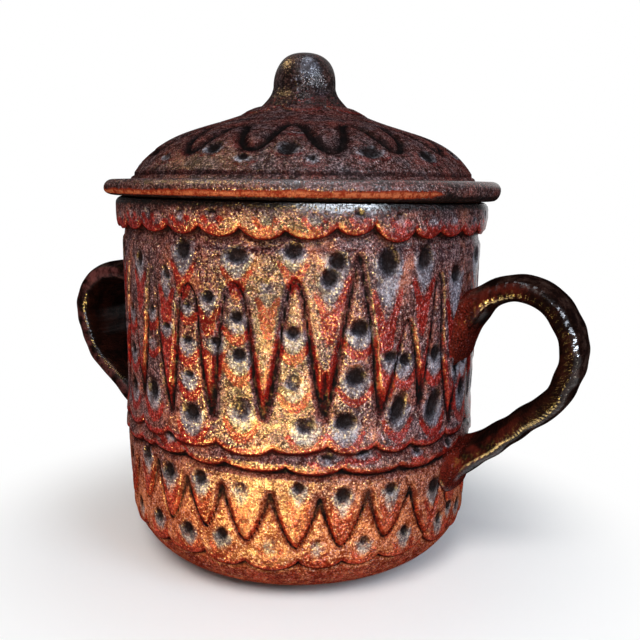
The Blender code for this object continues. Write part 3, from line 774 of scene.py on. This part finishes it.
# Strap handles. Shares go outward and upward along a strap, from its upper root to its lower one
straps = {
    "right": {
        "turn": 0, "width": 17.4, "thickness": 8.3, "lower": 33.2, "crown": 95.6, "reach": 93, "flare": 1.32,
        "shares": ((0.0, 0.65), (0.56, 1.0), (0.95, 0.84), (0.94, 0.535), (0.66, 0.34), (0.0, 0.0)),
        "lit": 1, "blush": 0.0, "sheen": (0.95, 0.18)},
    "left": {
        "turn": 180, "width": 26, "thickness": 8.7, "lower": 34, "crown": 91.6, "reach": 92.2, "flare": 1.2,
        "shares": ((0.0, 0.83), (0.52, 1.0), (0.96, 0.87), (0.905, 0.49), (0.64, 0.31), (0.0, 0.0)),
        "lit": -1, "blush": 1.7, "sheen": (0.24, 0.24)},
    "rootDepth": 8.0, "buried": 2.2, "fillet": 1.4, "filletReach": 2.0, "sectionPoints": 28,
    "roundness": 2.7, "smoothness": 16, "dish": 0.5,
}
strapGlaze = {
    "dark": (0.004, 0.0018, 0.0015), "brown": (0.016, 0.0045, 0.003), "rust": (0.12, 0.012, 0.007),
    "greySheen": (0.060, 0.044, 0.036), "pale": (0.36, 0.30, 0.33),
    "streak": 5.0, "fine": 0.55, "bead": 1.0,
    "rustShare": 0.30, "rootShare": 0.85, "paleShare": 0.15, "bloomShare": 0.07, "greySheenShare": 0.5,
    "dullRough": 0.5, "dullShine": 0.0, "wetRough": 0.09, "wetShine": 0.30, "flatShare": 0.006,
}


def strapMaterial(name):
    material, wire = newFinish(name)
    look = strapGlaze
    point = wire.node("ShaderNodeTexCoord", {}, {}, out="Object")
    streak = wire.noise(point, look["streak"], 4.0, 0.65)
    fine = wire.noise(point, look["fine"], 2.0, 0.65)
    bead = 1 - wire.cells(point, look["bead"]).rise(0.1, 0.6)
    ripple = wire.maths("SINE", wire.mask("along") * 3.6 + fine)
    edge = (wire.mask("edge") + (streak - 0.5) * 0.9).rise(0.45, 1.0)
    root = (wire.mask("root") + (streak - 0.5) * 0.9).rise(0.30, 0.80)
    bands = streak.rise(0.35, 0.65)
    colour = (streak * 1.3 + fine * 0.5).rise(0.75, 1.15).tint(look["dark"], look["brown"])
    # Rust, and pale at the roots; painted sheen: pale on the left strap's front, grey on the outer face
    for cover, tone in (
            (edge * wire.mask("near") * bands * look["rustShare"], "rust"),
            (root * fine.rise(0.30, 0.75) * look["rootShare"], "rust"),
            (root * (bead * 0.4 + fine).rise(0.78, 1.10) * look["paleShare"], "pale"),
            (wire.mask("bloom") * bands * look["bloomShare"], "pale"),
            (wire.mask("outer") * (streak + fine * 0.3).rise(0.60, 0.95) * look["greySheenShare"], "greySheen")):
        colour = cover.tint(colour, look[tone])
    height = bead * 0.5 + fine * 0.3 + streak * 1.2 + ripple * 0.5
    normal = wire.node("ShaderNodeBump", {}, {"Distance": 0.10 * mm, "Height": height})
    facing = wire.node("ShaderNodeLayerWeight", {}, {"Blend": 0.5}, out="Facing")
    share = (streak + fine * 0.8).rise(0.55, 0.95) * (1 - facing.rise(0.50, 0.90))
    share = share * (wire.mask("corner") * (1 - look["flatShare"]) + look["flatShare"])
    twoCoats(wire, look, colour, normal, streak * 0.16 + (look["wetRough"] - 0.06), share)
    return material


def strapSection(name, width, thickness):
    deselectAll()
    bpy.ops.curve.primitive_bezier_circle_add(radius=mm, location=(0, 0, 0))
    section = bpy.context.object
    section.name = name
    section.data.splines.clear()
    line = section.data.splines.new("POLY")
    radii = (width / 2, thickness / 2)
    outline = roundedArc((0, 0), radii, 4, 0, straps["sectionPoints"], straps["roundness"])[:-1]
    line.points.add(len(outline) - 1)
    for point, (x, y) in zip(line.points, outline):
        dish = straps["dish"] * (1 - (2 * x / width) ** 2) if y < 0 else 0  # towards the jar
        point.co = (x * mm, (y + dish) * mm, 0, 1)
    line.use_cyclic_u = True
    return section


def makeStrap(name, size, node):
    deselectAll()
    bpy.ops.curve.primitive_bezier_curve_add(radius=mm, location=(0, 0, 0))
    strap = bpy.context.object
    strap.name = name
    section = strapSection(name + "Section", size["width"], size["thickness"])
    curve = strap.data
    curve.dimensions = "3D"
    curve.resolution_u = straps["smoothness"]
    curve.bevel_mode = "OBJECT"
    curve.bevel_object = section
    curve.use_fill_caps = True
    line = curve.splines[0]
    line.bezier_points.add(len(size["shares"]) - len(line.bezier_points))
    root, rise = jar["wallRadius"] - straps["rootDepth"], size["crown"] - size["lower"]
    for point, (out, up) in zip(line.bezier_points, size["shares"]):
        point.co = ((root + (size["reach"] - root) * out) * mm, 0, (size["lower"] + rise * up) * mm)
        point.handle_left_type = point.handle_right_type = "AUTO"
        point.radius = 1.0
    line.bezier_points[0].radius = line.bezier_points[-1].radius = size["flare"]
    pick(strap)
    bpy.ops.object.convert(target="MESH")
    bpy.ops.transform.rotate(value=math.radians(size["turn"]), orient_axis="Z", center_override=(0, 0, 0))
    bpy.ops.object.transform_apply(location=True, rotation=True, scale=True)
    bpy.data.objects.remove(section, do_unlink=True)
    facesOutward(strap)
    reshape(strap, "SUBSURF", levels=1, render_levels=1)
    places, faces = readPoints(strap)
    gap = np.hypot(places[:, 0], places[:, 1]) - jar["wallRadius"]
    fillet = straps["fillet"] * np.exp(-np.clip(gap, -1, 30) / straps["filletReach"]) * (gap > -3)
    ridge = 0.10 * np.sin(places[:, 2] * 0.9)  # pulled by hand
    ridge += 0.08 * np.sin(places[:, 0] * 0.7 + places[:, 2] * 0.3)
    places += faces * (fillet + ridge)[:, None]
    writePoints(strap, places)
    cutRoots(strap)
    places, faces = readPoints(strap)
    side = 1 if size["turn"] == 0 else -1
    limit = rightHigh.x if side > 0 else -leftLow.x
    places[:, 0] = side * np.minimum(side * places[:, 0], limit)
    writePoints(strap, places)

    # Where it shines, where it is rusty and pale, and where the painted sheen goes
    gap = np.hypot(places[:, 0], places[:, 1]) - jar["wallRadius"]
    centre = np.array([side * (jar["wallRadius"] + 12), 0, (size["crown"] + size["lower"]) / 2])
    outward = (places - centre) * (1, 0, 1)
    outward /= np.linalg.norm(outward, axis=1)[:, None]
    outer = (faces * outward).sum(1)
    lit = outer * size["lit"]
    corner = band(lit, 0.16, 0.32, 0.68, 0.82)
    corner *= size["sheen"][0] + (size["sheen"][1] - size["sheen"][0]) * easy(places[:, 2], 76, 88)
    inner = band(-outer, 0.16, 0.34, 0.60, 0.80) * easy(places[:, 2], 84, 90)
    inner *= 1 - easy(side * places[:, 0], 70, 81)
    corner = most(corner, 0.7 * inner * (faces[:, 1] < 0) * (side > 0))
    edge = easy(np.abs(faces[:, 1]), 0.35, 0.95)
    along = np.arctan2(places[:, 2] - centre[2], side * (places[:, 0] - centre[0])) * 24
    paint(strap, root=1 - easy(gap, 0.5, 9.0), edge=edge, corner=corner, bloom=edge * (side < 0),
          near=np.maximum(1 - easy(gap, 12, 26), size["blush"]), outer=easy(outer, 0.3, 0.8), along=along)
    place(strap, "jar", "handle_glaze", strapMaterial(name + "Glaze"), node)


def cutRoots(strap):  # the ends stop inside the clay of the wall
    deselectAll()
    bpy.ops.mesh.primitive_cylinder_add(vertices=160, radius=(jar["wallRadius"] - straps["buried"]) * mm,
                                        depth=jarHigh.z * mm, location=(0, 0, jarHigh.z * mm / 2))
    cutter = bpy.context.object
    pick(strap)
    reshape(strap, "BOOLEAN", operation="DIFFERENCE", solver="EXACT", object=cutter)
    bpy.data.objects.remove(cutter, do_unlink=True)


makeStrap("rightHandle", straps["right"], "handle_right")
makeStrap("leftHandle", straps["left"], "handle_left")


# Lid. Down is the way down it from the middle of the knob's top, as the ornament is measured
lid = {
    "columns": 440, "outerGap": 0.85, "innerGap": 3.5,
    "rimThickness": 5.6, "domeRadius": 57.7, "domeRise": 23.1, "domeThickness": 5.0, "crownRadius": 16.5,
    "edgeShares": (0.23, 0.72), "crownShares": (0.45, 0.375),
    "ringDepth": 8.0, "ringThickness": 3.5, "ringOutside": 53.8, "ringRound": 0.8, "seat": 0.3,
    "grooveHalf": 1.35, "grooveDepth": 0.9, "pitDepth": 0.7, "pitRim": 0.14, "lobeLift": 0.55,
    "unevenness": 0.12, "tilt": 0.7,
    "crownDown": 27.9, "ringLine": 41.5, "rimLine": 74.5, "wavePitch": 24.5, "peak": 48.4, "trough": 65.8,
    "lobes": 7, "lobeDown": 26.0, "lobeReach": 7.5, "clayFrom": 85.9, "clayTo": 87.9, "clayEnd": -22,
}
# The wave in front: angle and way down, troughs and peaks in turn
waveFront = [
    (-124, 66), (-112.5, 50), (-100.2, 66.6), (-91, 48.6), (-77.5, 65.4), (-66, 47.6), (-51.8, 66.3),
    (-39.6, 47.4), (-29, 65.6), (-17.5, 48.5), (-5.5, 65.5), (6.5, 48.5)]
# Dots in front, as on the jar, with the way down for the height
lidDots = [
    (-111, 68.2, 1.6, 1.4, 0, 2.5, 0.6), (-91.2, 65.2, 2.4, 2.4, 12, 3, 1),
    (-79.2, 69, 1.6, 1.2, 0, 2.5, 0.95), (-65.6, 65.2, 2.5, 3, 22, 3, 1),
    (-58.3, 69.2, 1, 1.1, 10, 2.5, 0.9), (-39.6, 66.4, 3.2, 2.5, 0, 3, 1), (-17, 67.4, 2.8, 2.4, 0, 3, 1),
    (-62.5, 56, 1, 1, 0, 2, 0.3)]
lidGlaze = dict(
    glaze, deep=(0.012, 0.0040, 0.0032), rose=(0.105, 0.032, 0.028), paintedGlint=(0.44, 0.29, 0.28),
    emberDeep=(0.028, 0.006, 0.004), ember=(0.19, 0.027, 0.016), iron=(0.12, 0.011, 0.008),
    paleDeep=(0.060, 0.048, 0.056), pale=(0.46, 0.47, 0.54), coolShare=0.15, grainHeight=0.22,
    wetShine=0.20, wetShare=0.75, faceOn=(0.35, 0.80))


def domeOutline():
    run, rise = lid["domeRadius"] - lid["crownRadius"], lid["domeRise"]
    crown = (lid["crownRadius"], lid["rimThickness"] + rise)
    edge = (lid["domeRadius"], lid["rimThickness"])
    bends = [(x + run * shares[0] * way, y - rise * shares[1] * way)
             for (x, y), shares, way in ((crown, lid["crownShares"], 1), (edge, lid["edgeShares"], -1))]
    return bezierRun(crown, *bends, edge, 60)


def lidOutline():
    dome = domeOutline()
    nose = lid["rimThickness"] / 2
    reach = min(lidHigh.x, lidHigh.y)
    rim = roundedArc((reach - nose, nose), (nose, nose), 1, -1, 24)
    top = evenly(joined([(0, dome[0][1])], dome, rim), lid["outerGap"])
    ringOut, ringIn = lid["ringOutside"], lid["ringOutside"] - lid["ringThickness"]
    bottom, edge = -lid["ringDepth"], lid["ringRound"]
    ring = [(ringOut, 0), (ringOut, bottom + edge), (ringOut - edge, bottom), (ringIn + edge, bottom),
            (ringIn, bottom + edge)]
    line = np.array(dome)
    along = np.gradient(line, axis=0)
    along /= np.hypot(*along.T)[:, None]
    under = line + np.stack([along[:, 1], -along[:, 0]], axis=1) * lid["domeThickness"]
    under = [tuple(p) for p in under if p[0] < ringIn][::-1]
    shoulder = [(ringIn, under[0][1] - (ringIn - under[0][0]))]
    below = evenly(joined(shoulder, under, [(0, dome[0][1] - lid["domeThickness"])]), lid["innerGap"])
    seat = jarHigh.z + lid["seat"]
    whole = joined(top, evenly([top[-1], ring[0]], 2.5), ring, below)
    return [(radius, height + seat) for radius, height in whole]


def topRows(outline, radius, height):  # the nearest point of the outline's top, and how far off it is
    line = np.array(outline)
    noseRow = int(np.argmax(line[:, 0]))
    top = line[:noseRow + int(round(math.pi / 4 * lid["rimThickness"] / lid["outerGap"])) + 1]
    turned, which = np.unique(np.round(np.stack([radius, height]), 2), axis=1, return_inverse=True)
    nearest = np.array([np.argmin(np.hypot(top[:, 0] - r, top[:, 1] - h)) for r, h in turned.T])
    rows = nearest[which.ravel()]
    return rows, np.hypot(top[rows, 0] - radius, top[rows, 1] - height)


def waveRound():  # the wave in front, then troughs and peaks in turn round the back
    last = waveFront[-1][0]
    gap = waveFront[0][0] + 360 - last
    steps = 2 * round(gap / lid["wavePitch"])
    return waveFront + [(last + gap * k / steps, (lid["trough"] if k % 2 else lid["peak"]) + drift(1.0))
                        for k in range(1, steps)]


def makeLid():
    outline = lidOutline()
    piece = turnOutline("lidBody", outline, lid["columns"])
    places, faces, angle, radius = readTurned(piece)
    height = places[:, 2]
    rows, off = topRows(outline, radius, height)
    outside = (off < 0.1) & (height > jarHigh.z + 0.2)
    down = lengthAlong(outline)[rows] + (lid["crownDown"] - lid["crownRadius"])
    perDegree = np.maximum(radius, 5) * math.radians(1)

    # The wave, the dots, the turned rings and the lobes round the knob
    wave = waveRound()
    groove = np.full(angle.shape, farGroove)
    share = np.linspace(0, 1, 12)
    swing = (1 - np.cos(np.pi * share)) / 2
    for (a0, s0), (a1, s1) in zip(wave, wave[1:] + [(wave[0][0] + 360, wave[0][1])]):
        across = a0 + (a1 - a0) * (share + 0.05 * np.sin(2 * np.pi * share))
        leg = np.stack([across, s0 + (s1 - s0) * swing], axis=1)
        strokeDistance(angle, down, leg, (lid["grooveHalf"],) * 2, perDegree, groove)
    behind = [(a, s) for a, s in wave if abs(around(a, -62)) > 62]
    dots = list(lidDots)
    dots += [(a + drift(1), 66 + drift(1), 2.6 * (1 + drift(0.15)), 2.5 * (1 + drift(0.2)), drift(18), 3, 1)
             for a, s in behind if s < 55]
    dots += [(a + 3 + drift(2), 70.5 + drift(0.5), 1.3, 1.1, drift(15), 2.5, 0.9)
             for a, s in behind if s > 60]
    pit, dark, halo, iron = spots(angle, -down, perDegree, [(a, -s, *rest) for a, s, *rest in dots],
                                  lambda a, h: False)
    ring = np.abs(down - lid["ringLine"]) / 0.45
    rimRing = np.abs(down - lid["rimLine"]) / 0.5
    groove = np.minimum(groove, np.minimum(ring + 0.25, rimRing + 0.75))
    lobes = [(-88 + 360 / lid["lobes"] * k, -lid["lobeDown"] + drift(0.5), lid["lobeReach"] + drift(0.8))
             for k in range(lid["lobes"])]
    lobe = -lobedEdge(angle, lobes, 0.7) - down  # above 0 inside the lobes round the knob
    iron = most(iron * 0.5, 0.7 * np.exp(-((lobe - 0.3) / 0.9) ** 2) * (down < 40))

    # Relief
    lift = -lid["grooveDepth"] * np.clip(1 - (groove / 1.25) ** 2, 0, 1) * np.where(ring < 1.2, 0.3, 1)
    lift += pressed(pit, dark, lid["pitDepth"], lid["pitRim"])
    lift += lid["lobeLift"] * easy(lobe, -0.4, 0.7) * (down > 20)
    lift += lid["unevenness"] * np.sin(np.radians(3 * angle + 20)) * np.sin(down / 9)
    lift *= outside * (1 - easy(down, 79, 84))
    places += faces * lift[:, None]
    lean = math.radians(photoTurn)  # the rim stands a little higher towards the photograph's right
    side = (places[:, 0] * math.cos(lean) + places[:, 1] * math.sin(lean)) / lidHigh.x
    places[:, 2] += lid["tilt"] * side * easy(down, 40, 70) * outside * (1 - easy(down, 86, 90))
    writePoints(piece, places)

    # Bare clay along the rim and underneath, and painted shadow on the rim's underside
    rimGloss = 0.10 + 0.70 * easy(around(angle, -60), -50, -5)
    rimGloss *= band(down, 77, 80, 84.5, 86)
    ragged = np.sin(np.radians(angle * 13)) * 0.5 + np.sin(np.radians(angle * 31 + 50)) * 0.5
    left = 1 - easy(around(angle, lid["clayEnd"]) + 4 * ragged, -16, 8) * (np.abs(around(angle, 30)) < 85)
    clayHigh = lid["clayFrom"] + 0.12 * ragged + 0.3 * (1 - left)
    clayLow = lid["clayTo"] - 1.8 * (1 - left)
    clay = band(down, clayHigh, clayHigh + 1.0, clayLow, clayLow + 1.3)
    clay = np.where(outside, clay, 0) + np.where(~outside & (radius < lid["ringOutside"] + 1), 1.0, 0)
    clay *= radius > lid["ringOutside"] - 5
    # Painted shade round the pits and beside the cut lines, a dark line round the knob's lobes, painted
    # shadow under the rim
    shade = most(0.5 * dark * (1 - easy(pit, 0.95, 1.7)), 0.5 * (1 - easy(groove, 0.9, 2.2)),
                 0.6 * np.exp(-((lobe + 0.6) / 0.7) ** 2) * (down > 20) * (down < 40),
                 0.97 * easy(down, clayLow + 0.5, clayLow + 1.0) * (height < jarHigh.z + 2.5))
    shade = np.where(outside, shade, 0.97 * (radius > lid["ringOutside"] + 1))
    paint(piece, groove=groove, pit=pit, dark=dark, halo=halo * outside, iron=iron * outside,
          shade=shade, clay=clay, inside=~outside & (radius < lid["ringOutside"] - 5), relief=lift,
          gloss=rimGloss * outside)
    place(piece, "lid", "lid_glaze", glazedMaterial("lidGlaze", lidGlaze), "lid")


makeLid()


# Knob
knob = {
    "columns": 128, "gap": 0.55, "radius": 10.2, "bulb": 11.5, "roundness": 2.6, "footRadius": 14.8,
    "flareShares": (0.18, 0.46), "feather": 16.3, "buried": 0.8,
    # Pale blue-grey patches: angle, height, reach, strength; the strongest, in front, is a painted
    # reflection
    "patches": (
        (-52, 13, 6, 0.9), (-75, 7.5, 5, 0.4), (-30, 5, 5, 0.35), (60, 12, 6, 0.8), (150, 8, 6, 0.7)),
}
knobGlaze = dict(
    glaze, deep=(0.006, 0.0030, 0.0026), rose=(0.045, 0.017, 0.015), paintedGlint=(0.20, 0.14, 0.13),
    emberDeep=(0.01, 0.004, 0.003), ember=(0.06, 0.016, 0.012), paleDeep=(0.022, 0.019, 0.026),
    pale=(0.12, 0.13, 0.17), mottle=5.0, grainHeight=0.12, coolShare=0.1, paintedGlintShare=0.2,
    wetShine=0.18, wetShare=0.8)


def knobOutline():
    belly, buried = knobHigh.z - knobLow.z - knob["bulb"], knob["buried"]
    bulb = roundedArc((0, belly), (knob["radius"], knob["bulb"]), 1, 0, 40, knob["roundness"])
    spread = knob["footRadius"] - knob["radius"]
    bend = (knob["radius"] + spread * knob["flareShares"][0], belly - (belly - 0.8) * knob["flareShares"][1])
    flare = bezierRun(bulb[-1], bend, bend, (knob["footRadius"], 0.55), 24)
    base = [(knob["feather"], -0.35), (knob["feather"] - 1.5, -buried), (8, -buried), (0, -buried)]
    return [(r, h + knobLow.z) for r, h in joined(evenly(joined(bulb, flare), knob["gap"]), base)]


def makeKnob():
    piece = turnOutline("lidKnob", knobOutline(), knob["columns"])
    places, faces = readPoints(piece)
    angle = np.arctan2(places[:, 1], places[:, 0])
    up = places[:, 2] - knobLow.z
    dent = 0.22 * np.sin(2 * angle + 0.6) * np.sin(up / 5) + 0.12 * np.sin(5 * angle + up / 3)
    places += faces * (dent * easy(up, 0.5, 4) * (1 - easy(up, 15, 18)))[:, None]
    places[:, 2] = np.minimum(places[:, 2], knobHigh.z)
    writePoints(piece, places)
    zero = np.zeros(angle.shape)
    patches = zero + 0.05
    for middle, level, spread, strength in knob["patches"]:
        off = np.hypot(around(np.degrees(angle), middle) * math.radians(1) * knob["radius"], up - level)
        patches = most(patches, strength * (1 - easy(off, 0.3 * spread, spread)))
    # The pale patches go into the halo mask; painted shade darkens the knob's foot
    paint(piece, groove=zero + farGroove, pit=zero + farPit, dark=zero, halo=patches, clay=zero, inside=zero,
          iron=0.35 * (1 - easy(up, 2, 9)), shade=0.3 * (1 - easy(up, 3, 10)), relief=zero,
          gloss=0.35 * easy(up, 8, 14))
    place(piece, "lid", "knob_glaze", glazedMaterial("knobGlaze", knobGlaze), "lid_knob")


makeKnob()


# Floor, light and camera, in metres
studio = {
    "floorSize": 6.0, "floorWhite": 0.90, "fadeFrom": 0.065, "fadeTo": 0.14, "worldFill": 0.28,
    "lamps": {  # place, aim, spin in degrees, width and height, watts, colour, seen by glossy rays alone
        "keyLamp": ((0.16, -0.54, 0.60), (0, 0, 0.07), 0, (0.34, 0.34), 4.5, (1, 0.95, 0.92), False),
        "coolLamp": ((0.60, -0.20, 0.42), (0, 0, 0.09), 0, (0.34, 0.34), 2.6, (0.72, 0.86, 1), False),
        "windowLamp": ((0.70, -0.38, 0.32), (0, 0, 0.12), 0, (0.72, 0.22), 74, (0.78, 0.88, 1), True),
        "skyLamp": ((0.06, -0.06, 0.75), (0, 0, 0.12), 0, (0.24, 0.24), 7, (0.86, 0.93, 1), True),
        "warmLamp": ((-0.46, -0.14, 0.66), (0, 0, 0.12), 0, (0.22, 0.22), 14, (1, 0.66, 0.28), True),
        "tableGlow": (
            (0.073, -0.335, 0.002), (0.073, -0.335, 1), 11, (0.07, 0.45), 80, (1, 0.67, 0.17), True),
        "strapGlow": (
            (0.09, -0.045, 0.002), (0.09, -0.045, 1), 0, (0.06, 0.04), 0.26, (1, 0.7, 0.26), True),
        "tableSide": ((0.42, -0.09, 0.002), (0.42, -0.09, 1), 78, (0.06, 0.26), 0.9, (1, 0.90, 0.74), True),
        "tableWarmth": (
            (0.06, -0.24, 0.002), (0.06, -0.24, 1), 11, (0.09, 0.24), 0.62, (1, 0.64, 0.24), False),
    },
    "camera": {"place": (0.13230, -0.23652, 0.12491), "below": 9.67, "roll": 1.07, "lens": 43.87},
}
white = (1.0, 1.0, 1.0)


def backgroundSeen(wire):  # 1 for what the camera, a mirror or glass sees
    camera, glossy, through = (wire.node("ShaderNodeLightPath", {}, {}, out=f"Is {ray} Ray")
                               for ray in ("Camera", "Glossy", "Transmission"))
    return camera.most(glossy).most(through)


def makeFloor():
    deselectAll()
    bpy.ops.mesh.primitive_plane_add(size=studio["floorSize"], location=(0, 0, 0))
    floor = bpy.context.object
    floor.name = "floor"
    material, wire = newFinish("paleFloor")
    point = wire.node("ShaderNodeTexCoord", {}, {}, out="Object")
    far = wire.node("ShaderNodeVectorMath", {"operation": "LENGTH"}, {0: point}, out="Value")
    fade = far.rise(studio["fadeFrom"], studio["fadeTo"]) * backgroundSeen(wire)
    matt = wire.node("ShaderNodeBsdfDiffuse", {}, {"Color": (studio["floorWhite"],) * 3})
    glow = wire.node("ShaderNodeEmission", {}, {"Color": white, "Strength": 1.0})
    finishWith(wire, wire.node("ShaderNodeMixShader", {}, {0: fade, 1: matt, 2: glow}))
    floor.data.materials.append(material)


def makeWorld():
    world = bpy.data.worlds.new("studio")
    bpy.context.scene.world = world
    world.use_nodes = True
    world.node_tree.nodes.clear()
    wire = Wire(world.node_tree)
    seen = backgroundSeen(wire)
    strength = seen * (1 - studio["worldFill"]) + studio["worldFill"]
    light = wire.node("ShaderNodeBackground", {}, {"Color": white, "Strength": strength})
    wire.node("ShaderNodeOutputWorld", {}, {"Surface": light})


def makeLamp(name, spot, aim, spin, size, watts, colour, glossyOnly):
    deselectAll()
    bpy.ops.object.light_add(type="AREA", location=spot)
    lamp = bpy.context.object
    lamp.name = name
    lamp.data.shape = "RECTANGLE"
    lamp.data.size, lamp.data.size_y = size
    lamp.data.energy = watts
    lamp.data.color = colour
    away = (lamp.location - Vector(aim)).to_track_quat("Z", "Y")
    lamp.rotation_euler = (Quaternion((0, 0, 1), math.radians(spin)) @ away).to_euler()
    lamp.visible_diffuse = not glossyOnly
    lamp.visible_camera = False


def makeCamera():
    deselectAll()
    bpy.ops.object.camera_add()
    camera = bpy.context.object
    camera.name = "photographView"
    seen = studio["camera"]
    turn, tilt, roll = (Matrix.Rotation(math.radians(degrees), 4, axis) for degrees, axis in (
        (photoTurn, "Z"), (90 - seen["below"], "X"), (seen["roll"], "Z")))
    camera.matrix_world = Matrix.Translation(seen["place"]) @ turn @ tilt @ roll
    camera.data.sensor_width = 36
    camera.data.lens = seen["lens"]
    camera.data.clip_start = 0.01
    bpy.context.scene.camera = camera


makeFloor()
makeWorld()
for lampName, settings in studio["lamps"].items():
    makeLamp(lampName, *settings)
makeCamera()
bpy.context.scene.view_settings.view_transform = "Standard"
print("stage, lights and camera set")
